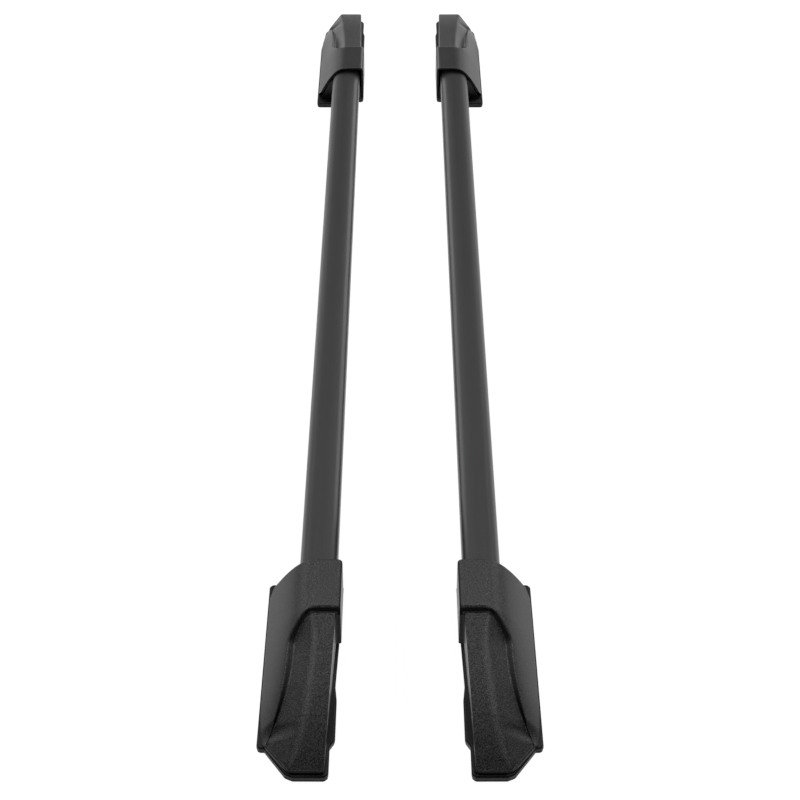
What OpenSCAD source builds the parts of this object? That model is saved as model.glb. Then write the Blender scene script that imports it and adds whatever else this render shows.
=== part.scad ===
// Pair of raised roof side rails for a car.
// Each rail is an extruded bar on two cast feet, and a moulded cover hides each foot.
// X runs across the pair, Y along the rails and Z up. The origin is on the ground
// in the middle of the pair, and the front feet are towards -Y.

/* [Rails] */
// Distance between the two bars' centre lines
rail_spacing = 175; // [160:1:1200]
// Angle by which each rail turns inward towards the rear
toe_in = 0.27; // [0:0.01:1]
// Length of bar that shows between the mouths of its two covers
bar_span = 1130; // [500:5:1800]
// Height of the bar's top above the ground
bar_top = 54; // [50:0.5:57]

/* [Bar] */
// Width of the bar
bar_w = 42; // [38:0.5:42.5]
// Height of the bar
bar_h = 28; // [25:0.5:30]
// Wall thickness of the bar
bar_wall = 2.4; // [1.8:0.1:3]
// Radius of the upper edge on the outer side
bar_outer_r = 15; // [14.5:0.5:16]
// Radius of the upper edge on the inner side
bar_inner_r = 10; // [8:0.1:11]
// Radius of the two lower edges
bar_under_r = 4; // [3:0.1:7]
// Angle at which the crowned top meets the two upper edges
crown_turn = 14; // [8:1:16]
// Length of bar hidden in each cover
bar_overlap = 70; // [60:1:71]

/* [Cover] */
// Length of a cover from its mouth to the end of its nose
cover_len = 264; // [255:1:300]
// Wall thickness of a cover
cover_wall = 3; // [2:0.1:3.5]
// Length of the raised collar round the bar's end
collar_len = 76; // [75:0.5:84]
// Gap between the bar's inner side and the collar
collar_side_gap = 3; // [2:0.1:5]
// Gap between the bar's top and the collar
collar_top_gap = 3; // [2.8:0.1:6]
// How far the front covers reach outward from the bar's centre line
front_flare = 54.5; // [50:0.5:62]
// How far the rear covers reach outward from the bar's centre line
rear_flare = 44.5; // [44:0.5:62]
// How far outward of the bar's centre line the flank starts to fall
shoulder_reach = 4; // [3.5:0.5:6]
// Fullness of the flank, where more is rounder
flank_fullness = 0.55; // [0.54:0.01:0.65]
// Height of the flank's lower edge above the base
flank_lip = 1; // [0.5:0.1:2]
// How far the front covers' lower outer edge comes inward before the nose
front_taper = 4.5; // [2:0.5:6]
// How far the rear covers' lower outer edge comes inward before the nose
rear_taper = 8; // [4:0.5:11]
// Share of the flank's height that is lost between the collar and the nose's end
flank_fall = 0.45; // [0.3:0.01:0.5]
// Radius of the edge where the flank ends beside the nose
wing_edge_r = 1.5; // [1:0.1:2]
// Length over which the flank's lower edge comes inward
flank_taper_len = 60; // [40:5:80]
// Height that the mouth's outer lower corner is cut away
mouth_cut_h = 9; // [5:0.5:12]
// Length that the mouth's outer lower corner is cut away
mouth_cut_len = 12; // [6:1:20]

/* [Nose] */
// Drop from the collar to the top of the nose
step_h = 4; // [2:0.1:5]
// Length of the step from the collar to the nose
step_len = 4; // [3:0.5:7]
// How far the nose's inner side is set in from the collar's
nose_inset = 5.2; // [3:0.1:6]
// Reach of the front covers' nose end inward from the bar's centre line
front_tip_in = 14.7; // [12:0.1:17]
// Reach of the rear covers' nose end inward from the bar's centre line
rear_tip_in = 18; // [14:0.1:19]
// Reach of the front covers' nose end outward from the bar's centre line
front_tip_out = 21.5; // [16:0.1:22]
// Reach of the rear covers' nose end outward from the bar's centre line
rear_tip_out = 17; // [16:0.1:22]
// Height of the front covers' nose end above the ground
front_tip_h = 13; // [13:0.5:20]
// Height of the rear covers' nose end above the ground
rear_tip_h = 21.5; // [14:0.5:22]
// Length of the slanted corner beside the nose's end
slant_len = 39; // [34:1:50]
// Radius of the nose's inner upper edge
nose_edge_r = 1.6; // [1:0.1:2.5]
// How fast the top of the nose falls away behind the collar
nose_fall = 11.8; // [9:0.1:13]
// Height of the slanted corner's upper edge where it starts, above the ground
slant_h = 12.5; // [11:0.1:14]
// Half width of the soft ridge beside the top of the nose
ridge_soft = 3; // [1:0.5:4]
// Least fall of the nose's outer facet for each millimetre outward, at its root
facet_fall_root = 0.35; // [0.3:0.01:0.7]
// Least fall of the nose's outer facet for each millimetre outward, at its end
facet_fall_tip = 0.47; // [0.4:0.01:0.55]
// Least height of the ramp between the facet and the wing, at the collar
ramp_h_root = 3; // [2:0.5:5]
// Least height of the ramp between the facet and the wing, at its highest pull
ramp_h_mid = 5.5; // [3:0.5:8]
// Width of the ramp between the facet and the wing, at the collar
ramp_w_root = 5; // [4:0.5:7]
// Width of the ramp between the facet and the wing, at its widest pull
ramp_w_mid = 9; // [6:0.5:10]
// Reach of the wing's upper edge from the bar's centre line, at the collar
wing_root_out = 11; // [10:0.5:12]
// Reach of the wing's upper edge from the bar's centre line, behind its bend
wing_edge_out = 28; // [26:0.5:30]
// Length along the cover over which the wing's upper edge bends outward
wing_bend_len = 36; // [30:1:42]
// Thickness of the ribs inside the wing
wing_rib_t = 2; // [1.5:0.1:3]

/* [Base] */
// Thickness of the rubber gasket
gasket_t = 3; // [2:0.1:4]
// How far the gasket's edge is set in from the base's
gasket_inset = 0.6; // [0.2:0.1:1.5]
// Thickness of the base's outer flange
flange_t = 3; // [2.5:0.1:4]
// Height of the seat for the cover above the flange
seat_h = 2; // [1.5:0.1:3]
// How far the flange shows outside the cover
flange_margin = 1.5; // [1:0.1:2.5]
// Reach of the flange inward of the bar's centre line, beside the nose
flange_in = 24.4; // [23:0.1:26]
// Depth of the waist in the flange's inner edge
waist_depth = 2; // [0:0.5:3]
// Distance from the mouth to the waist in the flange's inner edge
waist_y = 140; // [130:1:150]
// Length along the foot over which the flange's outer lobe passes the slant's start
lobe_len = 3; // [0:1:12]
// How far the front bases' outer edge comes inward before the nose
front_base_taper = 0; // [0:0.5:5]
// How far the rear bases' outer edge comes inward before the nose
rear_base_taper = 6; // [2:0.5:10]
// Softness of the flange's two corners at the nose's end
tip_corner = 4; // [1:0.5:5]
// How far the flange shows beyond the nose's end
tip_margin = 1.8; // [1.5:0.1:4]
// How far the flange shows inward of the nose's end
tip_side_margin = 4.4; // [2.5:0.1:5]
// How far the front bases reach out of the cover's mouth
front_toe = 14; // [8:0.5:16]
// How far the rear bases reach out of the cover's mouth, beside the bar's outer side
rear_outer_toe = 18; // [10:0.5:20]
// How far the rear bases reach out of the cover's mouth, beside the bar's inner side
rear_inner_toe = 1; // [0.5:0.5:16]
// Radius of the base's corners
base_corner_r = 5; // [3:0.5:7]
// Thickness of the base's upright walls and ribs
base_rib_t = 4; // [3:0.1:5]
// Thickness of the saddle under the bar
saddle_t = 4; // [3:0.1:5]
// How far the saddle is set in from the bar's sides and from the mouth
saddle_inset = 2; // [1:0.5:3]
// Width of each of the two pockets that lighten the tongue
pocket_w = 8; // [6:0.5:9]
// Distance between the two pockets' middles
pocket_pitch = 22; // [20:0.5:23]
// Gap between the base and the inside of the cover
base_gap = 2; // [1.5:0.1:2.5]
// Gap between the bar and the tongue inside it
tongue_gap = 0.35; // [0.2:0.05:0.6]
// Length of the tongue inside the bar
tongue_len = 55; // [45:1:58]

/* [Fasteners] */
// Radius of the hole in a threaded insert, for an M8 roof bolt
insert_hole_r = 3.4; // [2.5:0.1:4.2]
// Outer radius of a threaded insert
insert_r = 6; // [5.5:0.1:6.5]
// Length of a threaded insert
insert_len = 16; // [12:0.5:18]
// Distance from the cover's mouth to the first insert
insert_first = 105; // [95:1:110]
// How far outward of the bar's centre line the inserts lie
insert_out = 2; // [0:0.5:3]
// Wall of the boss round an insert
insert_boss_wall = 4; // [3:0.5:4.5]
// Distance from the nose's end to the second insert
insert_last = 72; // [68:1:76]
// How much wider than the insert's hole the base is bored above the insert
bolt_relief = 1; // [0.5:0.1:2]
// Radius of a bar screw's shank
bar_screw_r = 2.95; // [2:0.05:3.4]
// Radius of a bar screw's head
bar_screw_head_r = 5; // [4.5:0.1:5.5]
// Height of a bar screw's head
bar_screw_head_h = 4; // [3:0.1:5]
// Length of a bar screw's shank
bar_screw_len = 16; // [12:0.5:18]
// Distance from the mouth to the middle of the two bar screws
bar_screw_mid = 43; // [40:1:46]
// Distance between a foot's two bar screws
bar_screw_pitch = 26; // [20:1:30]
// Radius of a cover screw's shank
cover_screw_r = 1.9; // [1.4:0.05:2.2]
// Radius of a cover screw's head
cover_screw_head_r = 3.8; // [3.2:0.1:4.2]
// Height of a cover screw's head
cover_screw_head_h = 2.2; // [1.5:0.1:2.4]
// Length of a cover screw's shank
cover_screw_len = 13; // [10:0.5:14]
// Outer radius of the bosses that take the cover screws
cover_boss_r = 4.5; // [4:0.1:5]
// Distance from the mouth to the outer cover screw
cover_screw_first = 45; // [40:1:50]
// How far outward of the bar's centre line the outer cover screw lies
cover_screw_out = 33; // [32:0.5:35]
// Distance from the nose's end to the inner cover screw
cover_screw_last = 31; // [28:1:34]
// Radial clearance round a screw that passes through a piece
screw_clearance = 0.35; // [0.2:0.05:0.6]

/* [Hidden] */
FOOT_PIECES = ["cover", "base", "gasket", "inserts", "bar_screws", "cover_screws"];
$fn = 32;
// Overshoot of cutting shapes, so that no cut ends flush with a face
cut = 1;
// Radial clearance of a screw in its own thread
thread_gap = 0.05;

bar_bottom = bar_top - bar_h;
crown_span = bar_w - (bar_outer_r + bar_inner_r) * (1 - sin(crown_turn));
// Height of the crown above the level at which the upper edges' arcs would end flat
bar_crown = crown_span * tan(crown_turn) / 4 - (bar_outer_r + bar_inner_r) * (1 - cos(crown_turn)) / 2;
base_bottom = gasket_t;
seat_z = gasket_t + flange_t + seat_h;
collar_top = bar_top + collar_top_gap + cover_wall;
collar_side = bar_w / 2 + collar_side_gap + cover_wall;
edge_z = seat_z + flank_lip;
// Radius of the collar's inner upper edge
collar_edge_r = 5;
// Pulls of the curves that shape the wing's upper edge, the ramp and the ridge
wing_root_pull = 17;
wing_bend_pull = wing_edge_out - 1;
ramp_w_late = 4;
ramp_w_end = 0.6;
ridge_root = -5;
ridge_pulls = [-1, -6];
// How much the inside of the wing and of the ramp is set in, for each millimetre of wall
wing_inset = 0.8;
ramp_inset = 1.2;
// Share of the wall's thickness by which the flank's steep wall is set in at its foot
edge_inset = 1.2;
slant_start = cover_len - slant_len;
// What sets the front feet apart from the rear ones: flare and taper, height of the nose's end
// and its reach outward and inward, the base's taper, and its reach beside the bar's two sides
FRONT = [
    front_flare, front_taper, front_tip_h, front_tip_out, front_tip_in,
    front_base_taper, front_toe, front_toe
];
REAR = [
    rear_flare, rear_taper, rear_tip_h, rear_tip_out, rear_tip_in,
    rear_base_taper, rear_outer_toe, rear_inner_toe
];
wing_bend_end = collar_len + wing_bend_len;
// The flank's crest falls to the slant's height over this length
crest_fall_len = 20;
wing_end = slant_start + 4;
rail_x = rail_spacing / 2;
mouth_y = bar_span / 2;
tongue_end = bar_overlap + tongue_gap;
tongue_start = tongue_end - tongue_len;
insert_boss_r = insert_r + insert_boss_wall;
insert_x = -insert_out;
insert_places = [insert_first, cover_len - insert_last];
bar_screw_places = [bar_screw_mid - bar_screw_pitch / 2, bar_screw_mid + bar_screw_pitch / 2];
cover_screw_places = [[-cover_screw_out, cover_screw_first], [insert_x, cover_len - cover_screw_last]];
wing_rib_places = [collar_len - 14, wing_bend_end, (wing_bend_end + slant_start) / 2];
waist_run = 20;
corner_run = 10;
// Inner side of the base's upright parts
inner_wall_x = collar_side - nose_inset - cover_wall - base_gap;

// Cubic from v[0] to v[3], pulled by v[1] and v[2], at the share s of its length
function cubic(v, s) =
    let (t = max(0, min(1, s)), r = 1 - t)
    v[0] * r * r * r + 3 * v[1] * t * r * r + 3 * v[2] * t * t * r + v[3] * t * t * t;

// Straight rise from 0 at a to 1 at b
function ramp(a, b, x) = max(0, min(1, (x - a) / (b - a)));

// Points of an arc about (cx, cy), from angle a to angle b in n steps
function arc(cx, cy, r, a, b, n) =
    [for (i = [0 : n]) let (w = a + (b - a) * i / n) [cx + r * cos(w), cy + r * sin(w)]];

// Section of the bar, set in by t all round. The outer side is towards -X.
function bar_section(t) =
    let (
        x = bar_w / 2 - t,
        low = bar_bottom + t,
        high = bar_top - t - bar_crown,
        ro = max(0.5, bar_outer_r - t),
        ri = max(0.5, bar_inner_r - t),
        ru = max(0.5, bar_under_r - t),
        outer = arc(ro - x, high - ro, ro, 180, 90 + crown_turn, 8),
        inner = arc(x - ri, high - ri, ri, 90 - crown_turn, 0, 6),
        from = outer[8],
        run = inner[0] - from,
        rise = run[0] * tan(crown_turn)
    )
    concat(
        arc(ru - x, low + ru, ru, 270, 180, 4),
        outer,
        [for (i = [1 : 5]) let (s = i / 6) from + run * s + [0, rise * s * (1 - s)]],
        inner,
        arc(x - ru, low + ru, ru, 0, -90, 4)
    );

function flare_of(foot) = foot[0];
function taper_of(foot) = foot[1];
function tip_h_of(foot) = foot[2];
function tip_out_of(foot) = foot[3];
function tip_in_of(foot) = foot[4];
function base_taper_of(foot) = foot[5];
function outer_toe_of(foot) = foot[6];
function inner_toe_of(foot) = foot[7];

// The cover's surface in a foot's own frame: outward is -x, y runs from the mouth to
// the nose, and t is how far the surface is set in, which is 0 for the outside.

// 0 on the collar and 1 on the nose, with the step between them
function on_nose(y) = ramp(collar_len - step_len / 2, collar_len + step_len / 2, y);

// Inner side of the collar and of the nose
function side_x(foot, y, t) =
    let (
        root = collar_side - nose_inset,
        nose = root + (tip_in_of(foot) - root) * ramp(collar_len, cover_len, y)
    )
    collar_side + (nose - collar_side) * on_nose(y) - t;

// Top of the collar and of the nose
function top_z(foot, y, t) =
    let (
        root = collar_top - step_h,
        fall = [root, root - nose_fall, root - 1.7 * nose_fall, tip_h_of(foot)],
        nose = cubic(fall, ramp(collar_len, cover_len, y))
    )
    collar_top + (nose - collar_top) * on_nose(y) - t;

// Lower edge of the flank, which ends in the slant beside the nose
function edge_x(foot, y, t) =
    let (taper = taper_of(foot) * pow(ramp(slant_start - flank_taper_len, slant_start, y), 2))
    t * edge_inset - flare_of(foot) + taper
        + (flare_of(foot) - taper - tip_out_of(foot)) * ramp(slant_start, cover_len, y);

// Height of the flank at x
function flank_z(foot, y, x, t) =
    let (
        run = -shoulder_reach - edge_x(foot, min(y, slant_start), t),
        full = (collar_top - t - edge_z) * (1 - flank_fall * pow(ramp(collar_len, slant_start, y), 1.5))
    )
    edge_z + full * cubic([1, 1, flank_fullness, 0], (-shoulder_reach - x) / run);

// Upper edge of the slant
function slant_z(foot, y, t) =
    slant_h + (tip_h_of(foot) - slant_h) * ramp(slant_start, cover_len, y) - ramp_inset * t;

// Upper edge of the wing, which bends outward behind the collar and ends in a point
function wing_x(foot, y, t) =
    let (
        bend = cubic([-wing_root_out, -wing_root_pull, -wing_bend_pull, -wing_edge_out],
                     ramp(collar_len, wing_bend_end, y)),
        point = edge_x(foot, wing_end, 0) + wing_edge_out,
        run = cubic([0, 0.05, 0.15, 1], ramp(wing_bend_end, wing_end, y))
    )
    max(bend + point * run - wing_inset * t, edge_x(foot, y, t) + wing_edge_r);

function wing_z(foot, y, t) =
    let (flank = flank_z(foot, y, wing_x(foot, y, t), t))
    max(edge_z, flank + (slant_z(foot, y, t) - flank) * ramp(slant_start - crest_fall_len, slant_start, y));

// Foot of the ramp that falls from the wing to the nose's outer facet
function ramp_x(foot, y, t) =
    wing_x(foot, y, t)
        + cubic([ramp_w_root, ramp_w_mid, ramp_w_late, ramp_w_end], ramp(collar_len, wing_end, y));

function ramp_z(foot, y, t) =
    let (
        s = ramp(collar_len, cover_len, y),
        fall = facet_fall_root + (facet_fall_tip - facet_fall_root) * s,
        facet = top_z(foot, y, t) - fall * (ridge_x(foot, y, t) - ramp_x(foot, y, t)),
        least = cubic([ramp_h_root, ramp_h_mid, ramp_h_mid, 0], ramp(collar_len, wing_end, y))
    )
    max(edge_z, min(facet, wing_z(foot, y, 0) - least - ramp_inset * t));

// Soft ridge between the top of the nose and its outer facet
function ridge_x(foot, y, t) =
    let (line = [ridge_root, ridge_pulls[0], ridge_pulls[1], -tip_out_of(foot)])
    max(cubic(line, ramp(collar_len, cover_len, y)), ramp_x(foot, y, t) + ramp_w_end);

// Height of the collar or of the nose at x, inward of the ramp
function body_z(foot, y, x, t) =
    let (
        top = top_z(foot, y, t),
        ridge = ridge_x(foot, y, t),
        low_x = ramp_x(foot, y, t),
        share = max(0, ridge - x) / (ridge - low_x),
        nose = top - (top - ramp_z(foot, y, t)) * share,
        flank = flank_z(foot, y, x, t)
    )
    flank + (nose - flank) * on_nose(y);

// One section of the cover at y, from the inner lower edge over the top to the outer lower
// edge, with n points down the flank
function cover_ring(foot, y, t, n) =
    let (
        low = t == 0 ? seat_z : seat_z - cut,
        side = side_x(foot, y, t),
        top = top_z(foot, y, t),
        r = max(0.6, collar_edge_r + (nose_edge_r - collar_edge_r) * on_nose(y) - t),
        ridge = ridge_x(foot, y, t),
        low_x = ramp_x(foot, y, t),
        soft = min(ridge_soft, (ridge - low_x) * 0.4),
        wing = wing_x(foot, y, t),
        crest = wing_z(foot, y, t),
        edge = edge_x(foot, y, t),
        tip = ramp(slant_start, wing_end, y),
        full = flank_z(foot, y, wing, t) - edge_z
    )
    concat(
        [[side, low]],
        [for (w = [0 : 30 : 90]) [side - r + r * cos(w), top - r + r * sin(w)]],
        [for (x = [(side - r + ridge) / 2, ridge + soft, ridge - soft, (ridge + low_x) / 2, low_x])
            [x, body_z(foot, y, x, t)]],
        [for (i = [0 : n - 1])
            let (
                s = i / n,
                x = wing + (edge - wing) * s,
                fall = (flank_z(foot, y, x, t) - edge_z) / max(0.1, full)
            )
            [x, edge_z + (crest - edge_z) * (fall + (sqrt(1 - s * s) - fall) * tip)]],
        [[edge, edge_z], [edge, low]]
    );

// Solid through a row of closed rings that have as many points each
module loft(rings) {
    n = len(rings[0]);
    m = len(rings);
    points = [for (ring = rings, p = ring) p];
    sides = [for (j = [0 : m - 2], i = [0 : n - 1])
        let (a = j * n + i, b = j * n + (i + 1) % n)
        each [[a, b, b + n], [a, b + n, a + n]]];
    polyhedron(
        points,
        concat([[for (i = [0 : n - 1]) n - 1 - i]], sides, [[for (i = [0 : n - 1]) (m - 1) * n + i]])
    );
}

// Ring of the cover's section at y, set in by t and placed t nearer the mouth
function placed_ring(foot, y, t, n) = [for (p = cover_ring(foot, y, t, n)) [p[0], y - t, p[1]]];

module cover_body(foot, t, n, places) {
    loft([for (y = places) placed_ring(foot, y, t, n)]);
}

// Solid extruded along Y from a section in X and Z
module along_y(from, to) {
    translate([0, to, 0])
        rotate([90, 0, 0])
            linear_extrude(to - from)
                children();
}

// Solid extruded along X from an outline in Y and Z
module along_x(from, to) {
    translate([from, 0, 0])
        rotate([90, 0, 90])
            linear_extrude(to - from)
                children();
}

module bar() {
    color([0.11, 0.11, 0.115])
        difference() {
            along_y(-mouth_y - bar_overlap, mouth_y + bar_overlap)
                difference() {
                    polygon(bar_section(0));
                    polygon(bar_section(bar_wall));
                }
            for (end = [-1, 1], y = bar_screw_places)
                translate([0, end * (mouth_y + y), bar_bottom - cut])
                    cylinder(r = bar_screw_r + screw_clearance, h = bar_wall + 2 * cut);
        }
}

module cover(foot) {
    step = step_len / 2;
    outer_places = concat(
        [0, collar_len / 2, collar_len - step, collar_len + step],
        [for (i = [1 : 12]) collar_len + step + (slant_start - collar_len - step) * i / 12],
        [for (i = [1 : 5]) slant_start + slant_len * i / 5]
    );
    inner_places = concat(
        [-cut, collar_len - step, collar_len + step],
        [for (i = [1 : 7]) collar_len + step + (slant_start - collar_len - step) * i / 7],
        [slant_start + slant_len / 2, cover_len]
    );
    color([0.13, 0.13, 0.135])
        difference() {
            cover_body(foot, 0, 7, outer_places);
            difference() {
                cover_body(foot, cover_wall, 3, inner_places);
                for (p = cover_screw_places)
                    translate([p[0], p[1], 0])
                        cylinder(r = cover_boss_r, h = collar_top);
                for (y = wing_rib_places)
                    translate([-flare_of(foot), y, 0])
                        cube([flare_of(foot) - wing_edge_out, wing_rib_t, collar_top]);
            }
            for (p = cover_screw_places)
                translate([p[0], p[1], base_bottom + cover_screw_head_h])
                    cylinder(r = cover_screw_r + thread_gap, h = cover_screw_len + cut);
            along_x(-flare_of(foot) - cut, -bar_w / 2)
                polygon([
                    [-cut, 0],
                    [-cut, seat_z + mouth_cut_h * (1 + cut / mouth_cut_len)],
                    [mouth_cut_len, seat_z],
                    [mouth_cut_len, 0]
                ]);
        }
}

// Outline of the base seen from above
module base_outline(foot) {
    out = flare_of(foot) + flange_margin;
    side = tip_in_of(foot) + tip_side_margin;
    end = cover_len + tip_margin;
    lobe_end = slant_start + lobe_len;
    offset(r = base_corner_r)
        offset(delta = -base_corner_r)
            polygon([
                [collar_side, -inner_toe_of(foot)],
                [flange_in, collar_len + step_len],
                [flange_in - waist_depth, waist_y],
                [flange_in, waist_y + waist_run],
                [flange_in, slant_start - corner_run],
                [side, slant_start],
                [side, end - tip_corner],
                [side - tip_corner, end],
                [tip_corner - tip_out_of(foot), end],
                [-tip_corner - tip_out_of(foot), end - tip_corner],
                [tip_margin - flare_of(foot) + taper_of(foot), lobe_end],
                [base_taper_of(foot) - out, lobe_end],
                [-out, slant_start - flank_taper_len],
                [-out, -outer_toe_of(foot)],
                [0, -outer_toe_of(foot)],
                [0, -inner_toe_of(foot)]
            ]);
}

module base(foot) {
    rib_places = [insert_x + insert_boss_r, insert_x - insert_boss_r - base_rib_t];
    rib_end = cover_screw_places[1][1] - cover_boss_r - base_gap;
    saddle_wall = saddle_inset + base_rib_t;
    color([0.09, 0.09, 0.095])
        difference() {
            union() {
                translate([0, 0, base_bottom])
                    linear_extrude(flange_t)
                        base_outline(foot);
                translate([0, 0, base_bottom])
                    linear_extrude(flange_t + seat_h)
                        offset(delta = -flange_margin)
                            base_outline(foot);
                end_wall(foot);
                saddle();
                tongue();
                for (x = rib_places)
                    long_rib(foot, x, rib_end);
                for (y = insert_places) {
                    translate([insert_x, y, base_bottom])
                        cylinder(r = insert_boss_r, h = insert_len + base_rib_t);
                    translate([rib_places[1], y - base_rib_t / 2, base_bottom])
                        cube([rib_places[0] - rib_places[1], base_rib_t, insert_len + base_rib_t]);
                }
            }
            for (y = insert_places)
                translate([insert_x, y, 0]) {
                    cylinder(r = insert_r, h = base_bottom + insert_len);
                    cylinder(r = insert_hole_r + bolt_relief, h = collar_top);
                }
            for (y = bar_screw_places)
                translate([0, y, 0]) {
                    cylinder(r = bar_screw_r + screw_clearance, h = bar_bottom + cut);
                    cylinder(r = bar_screw_r + thread_gap, h = bar_bottom - saddle_t + bar_screw_len + cut);
                }
            for (p = cover_screw_places)
                translate([p[0], p[1], 0]) {
                    cylinder(
                        r = cover_screw_head_r + screw_clearance,
                        h = base_bottom + cover_screw_head_h
                    );
                    cylinder(r = cover_screw_r + screw_clearance, h = seat_z + cut);
                }
            // The saddle is open from below, which also lets the bar screws in
            translate([saddle_wall - bar_w / 2, saddle_wall, 0])
                cube([
                    bar_w - 2 * saddle_wall,
                    tongue_end - base_rib_t - saddle_wall,
                    bar_bottom - saddle_t
                ]);
        }
}

// Wall that closes the mouth beside and below the bar
module end_wall(foot) {
    inset = cover_wall + base_gap;
    side = -bar_w / 2 - tongue_gap;
    along_y(saddle_inset, saddle_inset + base_rib_t)
        polygon(concat(
            [[collar_side - inset, seat_z], [collar_side - inset, bar_bottom], [side, bar_bottom]],
            [for (i = [0 : 4]) let (x = side + (edge_x(foot, 0, inset) - side) * i / 4)
                [x, min(flank_z(foot, 0, x, inset), bar_top - bar_crown - bar_outer_r)]],
            [[edge_x(foot, 0, inset), seat_z]]
        ));
}

// Hollow block that carries the bar
module saddle() {
    floor_z = seat_z - seat_h;
    translate([saddle_inset - bar_w / 2, saddle_inset, floor_z])
        cube([bar_w - 2 * saddle_inset, tongue_end - saddle_inset, bar_bottom - floor_z]);
}

// Tongue inside the bar's end, and the wall that joins it to the base
module tongue() {
    fit = bar_wall + tongue_gap;
    along_y(tongue_start, tongue_end)
        difference() {
            polygon(bar_section(fit));
            for (side = [-1, 1])
                translate([side * pocket_pitch / 2 - pocket_w / 2, bar_bottom + fit + base_rib_t])
                    square([pocket_w, bar_h - 2 * fit - bar_crown - 2 * base_rib_t]);
        }
    along_y(tongue_end, tongue_end + base_rib_t)
        intersection() {
            union() {
                polygon(bar_section(fit));
                translate([saddle_inset - bar_w / 2, seat_z - seat_h])
                    square([bar_w - 2 * saddle_inset, bar_bottom - seat_z + seat_h + fit + base_rib_t]);
            }
            translate([-bar_w / 2, 0])
                square([bar_w / 2 + inner_wall_x, bar_top]);
        }
}

// Lengthwise rib that runs down from the tongue under the nose
module long_rib(foot, x, end) {
    steps = 6;
    start = tongue_end + base_rib_t / 2;
    inset = cover_wall + base_gap;
    along_x(x, x + base_rib_t)
        polygon(concat(
            [[end, seat_z - seat_h], [start, seat_z - seat_h]],
            [for (i = [0 : steps])
                let (y = start + (end - start) * i / steps, nose_y = max(y + inset, collar_len + step_len))
                [y, body_z(foot, nose_y, x, 0) - inset]]
        ));
}

module gasket(foot) {
    color([0.05, 0.05, 0.05])
        linear_extrude(gasket_t)
            difference() {
                offset(delta = -gasket_inset)
                    base_outline(foot);
                for (y = insert_places)
                    translate([insert_x, y])
                        circle(r = insert_r + gasket_inset);
            }
}

// Threaded inserts that take the roof bolts from below
module inserts() {
    color([0.62, 0.62, 0.6])
        for (y = insert_places)
            translate([insert_x, y, base_bottom])
                difference() {
                    cylinder(r = insert_r, h = insert_len);
                    translate([0, 0, -cut])
                        cylinder(r = insert_hole_r, h = insert_len + 2 * cut);
                }
}

// Screws that clamp the bar between the saddle and the tongue
module bar_screws() {
    color([0.6, 0.6, 0.58])
        for (y = bar_screw_places)
            translate([0, y, bar_bottom - saddle_t - bar_screw_head_h]) {
                difference() {
                    cylinder(r = bar_screw_head_r, h = bar_screw_head_h);
                    translate([0, 0, -cut])
                        cylinder(r = bar_screw_head_r / 2, h = bar_screw_head_h / 2 + cut, $fn = 6);
                }
                cylinder(r = bar_screw_r, h = bar_screw_head_h + bar_screw_len);
            }
}

// Screws that hold the cover down from below
module cover_screws() {
    color([0.6, 0.6, 0.58])
        for (p = cover_screw_places)
            translate([p[0], p[1], base_bottom]) {
                difference() {
                    cylinder(r = cover_screw_head_r, h = cover_screw_head_h);
                    translate([0, 0, -cut])
                        cylinder(r = cover_screw_head_r / 2, h = cover_screw_head_h / 2 + cut, $fn = 6);
                }
                cylinder(r = cover_screw_r, h = cover_screw_head_h + cover_screw_len);
            }
}

// Puts a rail's piece, drawn along the Y axis, where the left rail lies
module at_rail(side) {
    mirror([side == "right" ? 1 : 0, 0, 0])
        translate([-rail_x, 0, 0])
            rotate([0, 0, -toe_in])
                children();
}

// Puts a foot's piece, drawn as the left rear one, at the foot that is named
module at_foot(side, end) {
    at_rail(side)
        mirror([0, end == "front" ? 1 : 0, 0])
            translate([0, mouth_y, 0])
                children();
}

module foot_piece(piece, foot) {
    if (piece == "cover") cover(foot);
    if (piece == "base") base(foot);
    if (piece == "gasket") gasket(foot);
    if (piece == "inserts") inserts();
    if (piece == "bar_screws") bar_screws();
    if (piece == "cover_screws") cover_screws();
}

for (side = ["left", "right"]) {
    at_rail(side)
            bar();
    for (end = ["front", "rear"], piece = FOOT_PIECES)
        at_foot(side, end)
                foot_piece(piece, end == "front" ? FRONT : REAR);
}
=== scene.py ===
import logging
import math
from dataclasses import dataclass, field
from enum import Enum

import bmesh
import bpy
import numpy as np
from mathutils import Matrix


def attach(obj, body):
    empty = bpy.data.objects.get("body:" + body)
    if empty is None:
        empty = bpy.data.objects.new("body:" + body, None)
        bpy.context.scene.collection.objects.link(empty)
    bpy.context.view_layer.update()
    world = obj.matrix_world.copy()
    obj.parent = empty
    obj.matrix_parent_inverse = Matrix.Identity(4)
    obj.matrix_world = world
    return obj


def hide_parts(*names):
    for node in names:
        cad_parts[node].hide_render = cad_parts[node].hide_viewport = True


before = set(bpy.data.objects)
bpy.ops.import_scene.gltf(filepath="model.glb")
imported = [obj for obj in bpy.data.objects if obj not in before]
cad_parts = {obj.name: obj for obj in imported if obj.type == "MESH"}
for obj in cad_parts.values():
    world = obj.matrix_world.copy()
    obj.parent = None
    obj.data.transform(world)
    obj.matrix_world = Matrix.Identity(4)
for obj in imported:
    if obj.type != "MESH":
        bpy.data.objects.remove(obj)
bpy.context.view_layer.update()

LOG = logging.getLogger("roof_rails")
MM = 0.001
MERGE = 0.004
RAIL_X = 87.5
MOUTH_Y = 565.0
TOE_IN = 0.27
DRAWN_CREASE = 38.0
CAD_CREASE = 32.0
Array = np.ndarray
Node = bpy.types.Node
Socket = bpy.types.NodeSocket
Tree = bpy.types.NodeTree
Shade = tuple[float, float, float]
Place = tuple[float, float, float]
Pair = tuple[float, float]


class Side(Enum):
    """Which rail of the pair a piece belongs to."""

    LEFT = -1
    RIGHT = 1


class End(Enum):
    """Which end of a rail a foot carries."""

    FRONT = -1
    REAR = 1


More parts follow.
